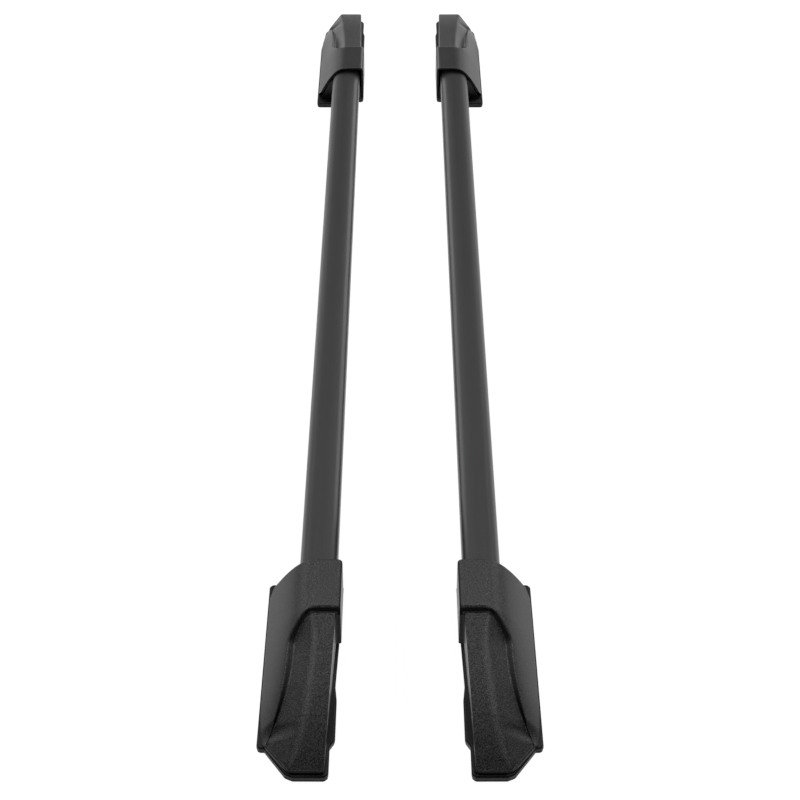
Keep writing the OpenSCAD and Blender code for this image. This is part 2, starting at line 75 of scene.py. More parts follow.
def ramp(a: float, b: float, x: Array) -> Array:
    """Straight rise from 0 at a to 1 at b.

    Args:
        a: Place where the rise starts.
        b: Place where the rise ends.
        x: Places to look up.

    Returns:
        The rise at each place, from 0 to 1.
    """
    return np.clip((np.asarray(x, float) - a) / (b - a), 0.0, 1.0)


def cubic(v: tuple[float, float, float, float], share: Array) -> Array:
    """Cubic curve from v[0] to v[3], pulled by v[1] and v[2].

    Args:
        v: The curve's start, its two pulls and its end.
        share: How far along the curve, from 0 to 1.

    Returns:
        The curve's value at each share.
    """
    t = np.clip(share, 0.0, 1.0)
    r = 1 - t
    return v[0] * r**3 + 3 * v[1] * t * r**2 + 3 * v[2] * t**2 * r + v[3] * t**3


def ease(share: Array) -> Array:
    """Soft start and stop for a share from 0 to 1."""
    return share * share * (3 - 2 * share)


def on_rail(points: Array, side: Side) -> Array:
    """Moves points from a rail's own frame to the row's frame, in mm.

    Args:
        points: Points with the rail's centre line on the Y axis and its outer side on -X.
        side: Which rail they belong to.

    Returns:
        The same points where that rail lies, turned inward by its toe-in.
    """
    turn = math.radians(TOE_IN)
    out = np.array(points, float)
    x, y = out[..., 0].copy(), out[..., 1].copy()
    out[..., 0] = (x * math.cos(turn) + y * math.sin(turn) - RAIL_X) * -side.value
    out[..., 1] = y * math.cos(turn) - x * math.sin(turn)
    return out


# Finishes


class Shader:
    """A material's node tree, filled one node at a time."""

    def __init__(self, name: str) -> None:
        """Starts a material with one plain shader.

        Args:
            name: Name of the material.
        """
        self.material = bpy.data.materials.new(name)
        self.material.use_nodes = True
        self.tree = self.material.node_tree
        self.tree.nodes.clear()
        self.out = self.tree.nodes.new("ShaderNodeOutputMaterial")
        self.body = self.tree.nodes.new("ShaderNodeBsdfPrincipled")
        self.join(self.body, "BSDF", self.out, "Surface")

    def add(self, kind: str, **values: object) -> Node:
        """Adds a node and sets its properties.

        Args:
            kind: The node's type.
            **values: Properties of the node, by name.

        Returns:
            The new node.
        """
        node = self.tree.nodes.new(kind)
        for name, value in values.items():
            setattr(node, name, value)
        return node

    def join(self, a: Node, out: str | int, b: Node, into: str | int) -> None:
        """Links an output of node a to an input of node b."""
        self.tree.links.new(a.outputs[out], b.inputs[into])

    def places(self, stretch: Place = (1, 1, 1)) -> Node:
        """Object coordinates, scaled along each axis.

        Args:
            stretch: Scale along X, Y and Z.

        Returns:
            A node whose Vector output holds the coordinates.
        """
        coords = self.add("ShaderNodeTexCoord")
        mapping = self.add("ShaderNodeMapping")
        mapping.inputs["Scale"].default_value = stretch
        self.join(coords, "Object", mapping, "Vector")
        return mapping

    def noise(self, where: Node, scale: float, detail: float = 2.0, rough: float = 0.5) -> Node:
        """Cloudy noise read at the given coordinates.

        Args:
            where: Node that gives the coordinates.
            scale: Number of spots to the metre.
            detail: How many finer layers are added.
            rough: How strong the finer layers are.

        Returns:
            The noise node.
        """
        node = self.add("ShaderNodeTexNoise")
        node.inputs["Scale"].default_value = scale
        node.inputs["Detail"].default_value = detail
        node.inputs["Roughness"].default_value = rough
        self.join(where, "Vector", node, "Vector")
        return node

    def remap(self, source: Node, out: str, low: float, high: float, a: float, b: float) -> Node:
        """Maps the range from low to high of a node's output to the range from a to b.

        Args:
            source: Node whose output is mapped.
            out: Name of the output that is read.
            low: Start of the range that is read.
            high: End of the range that is read.
            a: Value given at the start.
            b: Value given at the end.

        Returns:
            A node whose Result output is the mapped value.
        """
        node = self.add("ShaderNodeMapRange")
        for name, value in (("From Min", low), ("From Max", high), ("To Min", a), ("To Max", b)):
            node.inputs[name].default_value = value
        self.join(source, out, node, "Value")
        return node

    def roughen(self, source: Node, low: float, high: float) -> None:
        """Sets the surface's roughness from low to high over a noise's middle range."""
        self.join(self.remap(source, "Fac", 0.3, 0.7, low, high), "Result", self.body, "Roughness")

    def tint(self, source: Node, out: str, dark: Shade, light: Shade) -> None:
        """Colours the surface between two shades, by a node's output.

        Args:
            source: Node that chooses the shade.
            out: Name of the output that is read.
            dark: Shade at the weak end.
            light: Shade at the strong end.
        """
        mix = self.add("ShaderNodeMix", data_type="RGBA")
        mix.inputs[6].default_value = (*dark, 1)
        mix.inputs[7].default_value = (*light, 1)
        self.join(source, out, mix, 0)
        self.join(mix, 2, self.body, "Base Color")

    def bump(self, source: Node, out: str, height: float, strength: float, below: Node | None = None) -> Node:
        """Raises the surface by a node's output.

        Args:
            source: Node that gives the height.
            out: Name of the output that is read.
            height: Height of the relief in metres.
            strength: How much of the relief shows.
            below: Relief that this one lies on, if any.

        Returns:
            The bump node.
        """
        node = self.add("ShaderNodeBump")
        node.inputs["Distance"].default_value = height
        node.inputs["Strength"].default_value = strength
        self.join(source, out, node, "Height")
        if below is not None:
            self.join(below, "Normal", node, "Normal")
        self.join(node, "Normal", self.body, "Normal")
        return node

    def facing_up(self, side: float, top: float, low: float, high: float) -> Node:
        """Marks how far the surface looks upward.

        Args:
            side: Upward share of the direction at which the mark is low.
            top: Upward share of the direction at which the mark is high.
            low: Mark on steep sides.
            high: Mark on level tops.

        Returns:
            A node whose Result output is the mark.
        """
        flat = self.add("ShaderNodeNewGeometry")
        parts = self.add("ShaderNodeSeparateXYZ")
        self.join(flat, "Normal", parts, 0)
        return self.remap(parts, "Z", side, top, low, high)

    def painted_fold_shade(self, reach: float, shut: float, clear: float, low: float) -> Node:
        """Marks how open the surface lies, for painted shade in folds and grooves.

        Args:
            reach: How far away other surfaces count, in metres.
            shut: Openness at which the mark is low.
            clear: Openness at which the mark is 1.
            low: Mark in closed folds.

        Returns:
            A node whose Result output is the mark.
        """
        seen = self.add("ShaderNodeAmbientOcclusion", samples=6)
        seen.inputs["Distance"].default_value = reach
        return self.remap(seen, "AO", shut, clear, low, 1.0)

    def level(self, pattern: Node, gain: Node, middle: float = 0.5) -> Node:
        """Stretches or calms a noise about its middle value.

        Args:
            pattern: The noise.
            gain: Node whose Result output is the gain.
            middle: The noise's middle value, which stays as it is.

        Returns:
            A node whose Value output is the pattern.
        """
        swing = self.add("ShaderNodeMath", operation="SUBTRACT")
        swing.inputs[1].default_value = middle
        self.join(pattern, "Fac", swing, 0)
        scaled = self.add("ShaderNodeMath", operation="MULTIPLY_ADD")
        scaled.inputs[2].default_value = middle
        self.join(swing, "Value", scaled, 0)
        self.join(gain, "Result", scaled, 1)
        return scaled

    def product(self, a: Node, out: str, b: Node, b_out: str, clamp: bool = False) -> Node:
        """Multiplies two outputs.

        Args:
            a: First node.
            out: Name of its output.
            b: Second node.
            b_out: Name of its output.
            clamp: Whether the product stays between 0 and 1.

        Returns:
            A node whose Value output is the product.
        """
        node = self.add("ShaderNodeMath", operation="MULTIPLY", use_clamp=clamp)
        self.join(a, out, node, 0)
        self.join(b, b_out, node, 1)
        return node

    def blend(self, a: Node, out: str, b: Node, b_out: str, share: float) -> Node:
        """Mixes two patterns.

        Args:
            a: Node that gives the first pattern.
            out: Name of its output.
            b: Node that gives the second pattern.
            b_out: Name of its output.
            share: Share of the second pattern.

        Returns:
            A node whose Value output is the mix.
        """
        part = self.add("ShaderNodeMath", operation="MULTIPLY")
        part.inputs[1].default_value = 1 - share
        self.join(a, out, part, 0)
        total = self.add("ShaderNodeMath", operation="MULTIPLY_ADD")
        total.inputs[1].default_value = share
        self.join(b, b_out, total, 0)
        self.join(part, "Value", total, 2)
        return total

    def edges(self, radius: float) -> Node:
        """Marks the surface's edges.

        Args:
            radius: How far round an edge the mark reaches, in metres.

        Returns:
            A node whose Result output is 0 on flat ground and 1 on an edge.
        """
        bevel = self.add("ShaderNodeBevel", samples=6)
        bevel.inputs["Radius"].default_value = radius
        flat = self.add("ShaderNodeNewGeometry")
        dot = self.add("ShaderNodeVectorMath", operation="DOT_PRODUCT")
        self.join(bevel, "Normal", dot, 0)
        self.join(flat, "Normal", dot, 1)
        return self.remap(dot, "Value", 1.0, 0.9, 0.0, 1.0)


@dataclass(frozen=True)
class GrainedPlastic:
    """Black moulded plastic with a fine leather-like grain; level tops get painted highlights on its specks,
    steep sides and folds get painted shade.
    """

    name: str = "grained_black_plastic"
    dark: Shade = (0.002, 0.002, 0.002)
    light: Shade = (0.018, 0.018, 0.0183)
    grain_scale: float = 900.0
    grain_height: float = 0.00025
    grain_strength: float = 0.35
    grain_and_highlight_gain: Pair = (0.7, 3.2)
    cloud_scale: float = 9.0
    cloud_share: float = 0.15
    speck_from: Pair = (0.5, 1.0)
    speck_sheen: Pair = (0.36, 1.6)
    painted_sheen: Pair = (0.3, 1.3)
    roughness: Pair = (0.26, 0.4)

    def make(self) -> bpy.types.Material:
        """Builds the material."""
        s = Shader(self.name)
        where = s.places()
        grain = s.noise(where, self.grain_scale, 1.0, 0.5)
        cloud = s.noise(where, self.cloud_scale, 3.0, 0.6)
        # Painted highlights: the grain's specks are coloured lighter, far more on level tops than on steep
        # sides; the faint rest is the grain's own tone.
        grain_and_highlights = s.level(grain, s.facing_up(0.75, 0.97, *self.grain_and_highlight_gain))
        peaks = s.remap(grain_and_highlights, "Value", *self.speck_from, 0.0, 1.0)
        s.tint(s.blend(peaks, "Result", cloud, "Fac", self.cloud_share), "Value", self.dark, self.light)
        s.roughen(grain, *self.roughness)
        s.bump(grain, "Fac", self.grain_height, self.grain_strength)
        # Painted highlights and shade: the specks and level tops reflect more, steep sides reflect less.
        specks = s.remap(peaks, "Result", 0.0, 1.0, *self.speck_sheen)
        painted_sheen = s.product(specks, "Result", s.facing_up(0.48, 0.92, *self.painted_sheen), "Result")
        # Painted shade: reflection is weakened in folds and grooves.
        folds = s.painted_fold_shade(0.008, 0.35, 0.8, 0.85)
        s.join(s.product(painted_sheen, "Value", folds, "Result", clamp=True), "Value", s.body, "Specular IOR Level")
        return s.material


@dataclass(frozen=True)
class AnodisedBar:
    """Black anodised aluminium with faint drawing lines along the bar."""

    name: str = "black_anodised_bar"
    dark: Shade = (0.01, 0.01, 0.0105)
    light: Shade = (0.016, 0.016, 0.0165)
    line_stretch: Place = (1.0, 0.012, 1.0)
    line_scale: float = 900.0
    fine_scale: float = 2600.0
    roughness: Pair = (0.3, 0.42)
    specular: float = 0.62

    def make(self) -> bpy.types.Material:
        """Builds the material."""
        s = Shader(self.name)
        where = s.places()
        lines = s.noise(s.places(self.line_stretch), self.line_scale, 2.0, 0.6)
        s.tint(s.noise(where, 6.0, 4.0, 0.6), "Fac", self.dark, self.light)
        s.roughen(lines, *self.roughness)
        low = s.bump(lines, "Fac", 0.00002, 0.35)
        s.bump(s.noise(where, self.fine_scale, 1.0), "Fac", 0.00002, 0.25, low)
        s.body.inputs["Specular IOR Level"].default_value = self.specular
        return s.material


@dataclass(frozen=True)
class PowderCoat:
    """Black powder coat with a fine orange peel and rims painted lighter as a highlight, for the cast base.
    """

    name: str = "black_powder_coat"
    dark: Shade = (0.004, 0.004, 0.004)
    light: Shade = (0.07, 0.07, 0.07)
    rim_r: float = 0.0009
    peel_scale: float = 380.0
    roughness: Pair = (0.38, 0.5)
    specular: float = 0.3

    def make(self) -> bpy.types.Material:
        """Builds the material."""
        s = Shader(self.name)
        # Painted highlight: the edges are coloured lighter than the flat ground.
        s.tint(s.edges(self.rim_r), "Result", self.dark, self.light)
        peel = s.noise(s.places(), self.peel_scale)
        s.roughen(peel, *self.roughness)
        s.bump(peel, "Fac", 0.00012, 0.4)
        s.body.inputs["Specular IOR Level"].default_value = self.specular
        return s.material


@dataclass(frozen=True)
class GasketRubber:
    """Matt black rubber, slightly dusty."""

    name: str = "gasket_rubber"
    dark: Shade = (0.005, 0.005, 0.005)
    light: Shade = (0.012, 0.012, 0.0118)
    roughness: Pair = (0.7, 0.85)
    specular: float = 0.35

    def make(self) -> bpy.types.Material:
        """Builds the material."""
        s = Shader(self.name)
        where = s.places()
        dust = s.noise(where, 45.0, 4.0, 0.65)
        s.tint(dust, "Fac", self.dark, self.light)
        s.roughen(dust, *self.roughness)
        s.bump(s.noise(where, 900.0, 1.0), "Fac", 0.00008, 0.3)
        s.body.inputs["Specular IOR Level"].default_value = self.specular
        return s.material


@dataclass(frozen=True)
class ZincPlate:
    """Zinc-plated steel, faintly mottled, for inserts and screws."""

    name: str = "zinc_plated_steel"
    dark: Shade = (0.42, 0.42, 0.4)
    light: Shade = (0.6, 0.6, 0.57)
    roughness: Pair = (0.28, 0.42)

    def make(self) -> bpy.types.Material:
        """Builds the material."""
        s = Shader(self.name)
        spots = s.noise(s.places(), 320.0, 3.0, 0.6)
        s.tint(spots, "Fac", self.dark, self.light)
        s.roughen(spots, *self.roughness)
        s.bump(spots, "Fac", 0.00003, 0.3)
        s.body.inputs["Metallic"].default_value = 1.0
        return s.material


@dataclass
class Finishes:
    """One material of each kind, shared by all the pieces."""

    cover: bpy.types.Material = field(default_factory=lambda: GrainedPlastic().make())
    bar: bpy.types.Material = field(default_factory=lambda: AnodisedBar().make())
    base: bpy.types.Material = field(default_factory=lambda: PowderCoat().make())
    gasket: bpy.types.Material = field(default_factory=lambda: GasketRubber().make())
    steel: bpy.types.Material = field(default_factory=lambda: ZincPlate().make())


def dress(obj: bpy.types.Object, material: bpy.types.Material) -> None:
    """Gives the whole object one material."""
    obj.data.materials.clear()
    obj.data.materials.append(material)


# Meshes


class Skin:
    """Points and faces of one mesh, gathered grid by grid, in millimetres."""

    def __init__(self) -> None:
        """Starts with no points."""
        self.points: list[Place] = []
        self.faces: list[tuple[int, ...]] = []

    def grid(self, rows: Array, closed: bool = False, flip: bool = False) -> Array:
        """Adds a sheet of four-sided faces.

        Args:
            rows: Points as an array of rows, columns and three numbers.
            closed: Whether the last column meets the first.
            flip: Whether the faces look the other way.

        Returns:
            The number of each point, by row and column.
        """
        n, m = rows.shape[:2]
        start = len(self.points)
        self.points.extend(map(tuple, rows.reshape(-1, 3)))
        ids = start + np.arange(n * m).reshape(n, m)
        across = ids if not closed else np.hstack([ids, ids[:, :1]])
        corners = (across[:-1, :-1], across[:-1, 1:], across[1:, 1:], across[1:, :-1])
        quads = np.stack(corners, -1).reshape(-1, 4)
        if flip:
            quads = quads[:, ::-1]
        self.faces.extend(map(tuple, quads.tolist()))
        return ids

    def band(self, a: Array, b: Array, flip: bool = False) -> None:
        """Joins two rows of points that have the same length.

        Args:
            a: Point numbers of the first row.
            b: Point numbers of the second row.
            flip: Whether the faces look the other way.
        """
        quads = np.stack([a[:-1], a[1:], b[1:], b[:-1]], -1)
        if flip:
            quads = quads[:, ::-1]
        self.faces.extend(map(tuple, quads.tolist()))

    def cap(self, row: Array, flip: bool = False) -> None:
        """Closes a row of points with one flat face."""
        loop = [int(i) for i in row]
        self.faces.append(tuple(loop[::-1] if flip else loop))

    def make(self, name: str) -> bpy.types.Object:
        """Turns the gathered points into an object whose faces look outward.

        Args:
            name: Name of the new object.

        Returns:
            The object, linked to the scene.
        """
        mesh = bpy.data.meshes.new(name)
        mesh.from_pydata([(x * MM, y * MM, z * MM) for x, y, z in self.points], [], self.faces)
        work = bmesh.new()
        work.from_mesh(mesh)
        bmesh.ops.remove_doubles(work, verts=work.verts, dist=MERGE * MM)
        bmesh.ops.dissolve_degenerate(work, edges=work.edges, dist=MERGE * MM)
        bmesh.ops.recalc_face_normals(work, faces=work.faces)
        work.to_mesh(mesh)
        work.free()
        mesh.validate()
        obj = bpy.data.objects.new(name, mesh)
        bpy.context.scene.collection.objects.link(obj)
        shade(obj, DRAWN_CREASE)
        return obj


def shade(obj: bpy.types.Object, angle: float) -> None:
    """Shades an object smooth, but keeps the edges that turn more than an angle.

    Args:
        obj: The object.
        angle: The angle in degrees.
    """
    mesh = obj.data
    mesh.polygons.foreach_set("use_smooth", [True] * len(mesh.polygons))
    work = bmesh.new()
    work.from_mesh(mesh)
    limit = math.radians(angle)
    for edge in work.edges:
        edge.smooth = len(edge.link_faces) == 2 and edge.calc_face_angle(0.0) < limit
    work.to_mesh(mesh)
    work.free()


# The bar


@dataclass
class RailBar:
    """One extruded bar, with its crowned top and unequal edge radii. Sizes in mm."""

    side: Side
    finishes: Finishes
    half_length: float = 635.0
    width: float = 42.0
    height: float = 28.0
    top: float = 54.0
    wall: float = 2.4
    outer_r: float = 15.0
    inner_r: float = 10.0
    under_r: float = 4.0
    crown_turn: float = 14.0
    chamfer: float = 0.4

    @property
    def node(self) -> str:
        """Name of the CAD node that the bar stands for."""
        return f"{self.side.name.lower()}_bar"

    def arc(self, cx: float, cz: float, r: float, a: float, b: float, n: int) -> list[Pair]:
        """Points of an arc in the bar's section.

        Args:
            cx: Centre across the bar.
            cz: Centre's height.
            r: Radius.
            a: Angle of the first point, in degrees.
            b: Angle of the last point, in degrees.
            n: Number of steps.

        Returns:
            The points, as places across the bar and heights.
        """
        turns = [math.radians(a + (b - a) * i / n) for i in range(n + 1)]
        return [(cx + r * math.cos(w), cz + r * math.sin(w)) for w in turns]

    def section(self, inset: float) -> list[Pair]:
        """The bar's section, set in all round.

        Args:
            inset: How far the section is set in.

        Returns:
            The section's points, once round from the outer lower edge.
        """
        x = self.width / 2 - inset
        low = self.top - self.height + inset
        high = self.top - inset - self.crown
        ro, ri, ru = (max(0.5, r - inset) for r in (self.outer_r, self.inner_r, self.under_r))
        outer = self.arc(ro - x, high - ro, ro, 180, 90 + self.crown_turn, 28)
        inner = self.arc(x - ri, high - ri, ri, 90 - self.crown_turn, 0, 20)
        run, drop = inner[0][0] - outer[-1][0], inner[0][1] - outer[-1][1]
        rise = run * math.tan(math.radians(self.crown_turn))
        shares = [i / 20 for i in range(1, 20)]
        crown = [(outer[-1][0] + run * s, outer[-1][1] + drop * s + rise * s * (1 - s)) for s in shares]
        return (
            self.arc(ru - x, low + ru, ru, 270, 180, 12)
            + outer
            + crown
            + inner
            + self.arc(x - ru, low + ru, ru, 0, -90, 12)
        )

    @property
    def crown(self) -> float:
        """Height of the crown above the level at which the upper edges' arcs would end flat."""
        turn = math.radians(self.crown_turn)
        radii = self.outer_r + self.inner_r
        span = self.width - radii * (1 - math.sin(turn))
        return span * math.tan(turn) / 4 - radii * (1 - math.cos(turn)) / 2

    def build(self) -> bpy.types.Object:
        """Builds the hollow bar and puts it in the place of its CAD node.

        Returns:
            The dressed bar.
        """
        skin = Skin()
        ys = np.linspace(-self.half_length, self.half_length, 41)
        ys = np.concatenate([[ys[0], ys[0] + self.chamfer], ys[1:-1], [ys[-1] - self.chamfer, ys[-1]]])
        insets = np.zeros(len(ys))
        insets[[0, -1]] = self.chamfer
        outer = np.array([[(x, y, z) for x, z in self.section(t)] for y, t in zip(ys, insets)])
        inner = np.array([[(x, y, z) for x, z in self.section(self.wall)] for y in ys[[0, -1]]])
        a = skin.grid(on_rail(outer, self.side), closed=True)
        b = skin.grid(on_rail(inner, self.side), closed=True, flip=True)
        for i, flip in ((0, True), (-1, False)):
            loop_a = np.append(a[i], a[i][0])
            loop_b = np.append(b[i], b[i][0])
            skin.band(loop_a, loop_b, flip)
        obj = skin.make(f"{self.node}_drawn")
        dress(obj, self.finishes.bar)
        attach(obj, "root")
        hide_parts(self.node)
        LOG.info("bar %s: %d faces", self.node, len(obj.data.polygons))
        return obj


# The feet


@dataclass(frozen=True)
class CoverShape:
    """Surface of a foot's cover in the foot's own frame, in mm.

    Outward is -x, y runs from the mouth to the nose, and t is how far the surface is set in.
    """

    flare: float
    taper: float
    tip_h: float
    tip_out: float
    tip_in: float
    length: float = 264.0
    wall: float = 3.0
    collar_len: float = 76.0
    collar_top: float = 60.0
    collar_side: float = 27.0
    collar_edge_r: float = 5.0
    shoulder: float = 4.0
    shoulder_blend: float = 8.0
    fullness: float = 0.55
    seat: float = 8.0
    lip: float = 1.0
    flank_fall: float = 0.45
    taper_len: float = 60.0
    edge_r: float = 1.5
    cut_h: float = 9.0
    cut_len: float = 12.0
    step_h: float = 4.0
    step_len: float = 4.0
    riser_len: float = 2.2
    groove_depth: float = 1.8
    groove_len: float = 4.6
    inset: float = 5.2
    slant_len: float = 39.0
    nose_edge_r: float = 1.0
    nose_fall: float = 11.8
    slant_h: float = 12.5
    ridge_soft: float = 8.0
    fall_root: float = 0.35
    fall_tip: float = 0.47
    ramp_root: float = 3.0
    ramp_mid: float = 5.5
    ramp_run: tuple[float, float, float, float] = (5.0, 9.0, 4.0, 0.6)
    wing_root: float = 11.0
    wing_pull: float = 17.0
    wing_out: float = 28.0
    wing_len: float = 36.0
    crest_len: float = 20.0
    ridge_pull: Pair = (-1.0, -6.0)
    curl_out: float = 5.0
    curl_in: float = 3.5
    curl_len: float = 11.0
    roll: float = 0.7
    roll_len: float = 3.2

    @property
    def edge_z(self) -> float:
        """Height of the flank's lower edge."""
        return self.seat + self.lip

    @property
    def slant_start(self) -> float:
        """Where the slanted corner starts."""
        return self.length - self.slant_len

    @property
    def wing_end(self) -> float:
        """Where the wing ends in a point."""
        return self.slant_start + 4

    def on_nose(self, y: Array) -> Array:
        """0 on the collar and 1 on the nose, with a steep step between them."""
        start = self.collar_len - self.step_len / 2
        return ease(ramp(start, start + self.riser_len, y))

    def delay(self, x: Array) -> Array:
        """How much later the step comes at x, so that its line curls forward at both ends."""
        outer = 1 - ramp(-self.wing_root, self.curl_len - self.wing_root, x)
        inner = ramp(self.collar_side - self.curl_len * 0.6, self.collar_side - 1, x)
        return self.curl_out * outer**2 + self.curl_in * inner**2

    def groove(self, y: Array) -> Array:
        """Depth of the groove that runs along the foot of the step."""
        start = self.collar_len - self.step_len / 2 + self.riser_len * 0.6
        return self.groove_depth * np.sin(math.pi * ramp(start, start + self.groove_len, y)) ** 2

    def side_x(self, y: Array, t: float) -> Array:
        """Inner side of the collar and of the nose."""
        root = self.collar_side - self.inset
        nose = root + (self.tip_in - root) * ramp(self.collar_len, self.length, y)
        return self.collar_side + (nose - self.collar_side) * self.on_nose(y - self.curl_in) - t

    def top_z(self, y: Array, t: float) -> Array:
        """Top of the collar and of the nose."""
        root = self.collar_top - self.step_h
        fall = (root, root - self.nose_fall, root - 1.7 * self.nose_fall, self.tip_h)
        nose = cubic(fall, ramp(self.collar_len, self.length, y))
        high = self.collar_top - self.rolled(y)
        return high + (nose - high) * self.on_nose(y) - t

    def rolled(self, y: Array) -> Array:
        """How far the collar's top rolls down just before the step."""
        start = self.collar_len - self.step_len / 2
        return self.roll * ramp(start - self.roll_len, start, y) ** 2

    def edge_x(self, y: Array, t: float) -> Array:
        """Lower edge of the flank."""
        taper = self.taper * ramp(self.slant_start - self.taper_len, self.slant_start, y) ** 2
        slant = (self.flare - taper - self.tip_out) * ramp(self.slant_start, self.length, y)
        return 1.2 * t - self.flare + taper + slant

    def flank_z(self, y: Array, x: Array, t: float) -> Array:
        """Height of the flank at x, with its shoulder blended into the collar's top."""
        x = np.asarray(x, float)
        reach = np.clip((x - self.edge_x(y, t)) / 3, 0, self.shoulder_blend)
        spots = (-1.0, -0.6, -0.2, 0.2, 0.6, 1.0)
        return sum(self.raw_flank_z(y, np.minimum(x + k * reach, 0.0), t) for k in spots) / len(spots)

    def raw_flank_z(self, y: Array, x: Array, t: float) -> Array:
        """Height of the flank at x, with a plain shoulder."""
        run = -self.shoulder - self.edge_x(np.minimum(y, self.slant_start), t)
        share = (-self.shoulder - x) / run
        lost = self.flank_fall * ramp(self.collar_len, self.slant_start, y) ** 1.5
        full = (self.collar_top - t - self.edge_z) * (1 - lost)
        return self.edge_z + full * cubic((1, 1, self.fullness, 0), share)

    def slant_z(self, y: Array, t: float) -> Array:
        """Upper edge of the slanted corner."""
        rise = ramp(self.slant_start, self.length, y)
        return self.slant_h + (self.tip_h - self.slant_h) * rise - 1.2 * t

    def wing_x(self, y: Array, t: float) -> Array:
        """Upper edge of the wing, which bends outward behind the collar."""
        bend_end = self.collar_len + self.wing_len
        pulls = (-self.wing_root, -self.wing_pull, 1 - self.wing_out, -self.wing_out)
        bend = cubic(pulls, ramp(self.collar_len, bend_end, y))
        point = self.edge_x(np.asarray(self.wing_end), 0) + self.wing_out
        run = cubic((0, 0.05, 0.15, 1), ramp(bend_end, self.wing_end, y))
        return np.maximum(bend + point * run - 0.8 * t, self.edge_x(y, t) + self.edge_r)

    def wing_z(self, y: Array, t: float) -> Array:
        """Height of the wing's upper edge."""
        flank = self.flank_z(y, self.wing_x(y, t), t)
        fall = ramp(self.slant_start - self.crest_len, self.slant_start, y)
        return np.maximum(self.edge_z, flank + (self.slant_z(y, t) - flank) * fall)

    def foot_x(self, y: Array, t: float) -> Array:
        """Foot of the ramp below the wing."""
        return self.wing_x(y, t) + cubic(self.ramp_run, ramp(self.collar_len, self.wing_end, y))

    def ridge_x(self, y: Array, t: float) -> Array:
        """Soft ridge between the top of the nose and its outer facet."""
        line = cubic((-5, *self.ridge_pull, -self.tip_out), ramp(self.collar_len, self.length, y))
        return np.maximum(line, self.foot_x(y, t) + 0.6)

    def foot_z(self, y: Array, t: float) -> Array:
        """Height of the ramp's foot."""
        fall = self.fall_root + (self.fall_tip - self.fall_root) * ramp(self.collar_len, self.length, y)
        facet = self.top_z(y, t) - fall * (self.ridge_x(y, t) - self.foot_x(y, t))
        drops = (self.ramp_root, self.ramp_mid, self.ramp_mid, 0)
        least = cubic(drops, ramp(self.collar_len, self.wing_end, y))
        return np.maximum(self.edge_z, np.minimum(facet, self.wing_z(y, 0) - least - 1.2 * t))

    def body_z(self, y: Array, x: Array, t: float) -> Array:
        """Height of the collar or of the nose at x, inward of the ramp."""
        top = self.top_z(y, t)
        ridge = self.ridge_x(y, t)
        share = np.maximum(0, ridge - x) / (ridge - self.foot_x(y, t))
        late = np.asarray(y, float) - self.delay(x)
        inward = ease(ramp(-self.wing_root, self.curl_len - self.wing_root, x))
        nose = top - (top - self.foot_z(y, t)) * share - self.groove(late) * inward
        wing = self.wing_x(y, t)
        flank = self.flank_z(y, x, t) - self.rolled(y) * ease(ramp(wing, wing + 5, x))
        return flank + (nose - flank) * self.on_nose(late)

    def cut_z(self, y: float) -> float:
        """Height of the cut across the mouth's outer lower corner."""
        return self.seat + self.cut_h * max(0.0, 1 - y / self.cut_len)

    def section(self, y: float, t: float, low: float, cut: float) -> Array:
        """One section across the cover, from the inner lower edge over the top to the outer one.

        Args:
            y: Distance from the mouth at which the shape is read.
            t: How far the surface is set in.
            low: Height of both lower edges.
            cut: Height below which the flank is cut away, or low for none.

        Returns:
            Points as places across the cover and heights.
        """
        side = float(self.side_x(y, t))
        nose = float(self.on_nose(y - self.curl_in))
        r = max(0.6, self.collar_edge_r + (self.nose_edge_r - self.collar_edge_r) * nose - t)
        top = float(self.body_z(y, side - r, t))
        ridge, foot = float(self.ridge_x(y, t)), float(self.foot_x(y, t))
        wing, edge = float(self.wing_x(y, t)), float(self.edge_x(y, t))
        crest, foot_z = float(self.wing_z(y, t)), float(self.body_z(y, foot, t))
        soft = min(self.ridge_soft, (ridge - foot) * 0.4)
        tip = float(ramp(self.slant_start, self.wing_end, y))
        turns = np.radians(np.linspace(0, 90, 9))
        wall = np.linspace(low, top - r, 8)[:-1]
        parts = [np.stack([np.full(7, side), wall], -1)]
        parts.append(np.stack([side - r + r * np.cos(turns), top - r + r * np.sin(turns)], -1))
        over = np.linspace(side - r, ridge + soft, 15)[1:]
        parts.append(np.stack([over, self.body_z(y, over, t)], -1))
        parts.append(self.soft_ridge(y, t, ridge, soft))
        facet = np.linspace(ridge - soft, foot, 12)[1:]
        parts.append(np.stack([facet, self.body_z(y, facet, t)], -1))
        climb = np.linspace(0, 1, 9)[1:-1]
        across = foot + (wing - foot) * climb
        plain = self.flank_z(y, across, t)
        late = self.on_nose(y - self.delay(across))
        parts.append(np.stack([across, plain + (foot_z + (crest - foot_z) * climb - plain) * late], -1))
        share = np.linspace(0, 1, 37)
        full = max(0.1, float(self.flank_z(y, wing, t)) - self.edge_z)
        fall = (self.flank_z(y, wing + (edge - wing) * share, t) - self.edge_z) / full
        height = self.edge_z + (crest - self.edge_z) * (fall + (np.sqrt(1 - share**2) - fall) * tip)
        if cut > self.edge_z:
            last = float(np.interp(cut, height[::-1], share[::-1]))
            share = share * last
            height = np.interp(share, np.linspace(0, 1, 37), height)
        parts.append(np.stack([wing + (edge - wing) * share, height], -1))
        end = parts[-1][-1]
        down = np.linspace(end[1], max(low, cut), 4)[1:]
        parts.append(np.stack([np.full(3, end[0]), np.minimum(down, end[1])], -1))
        return np.concatenate(parts)

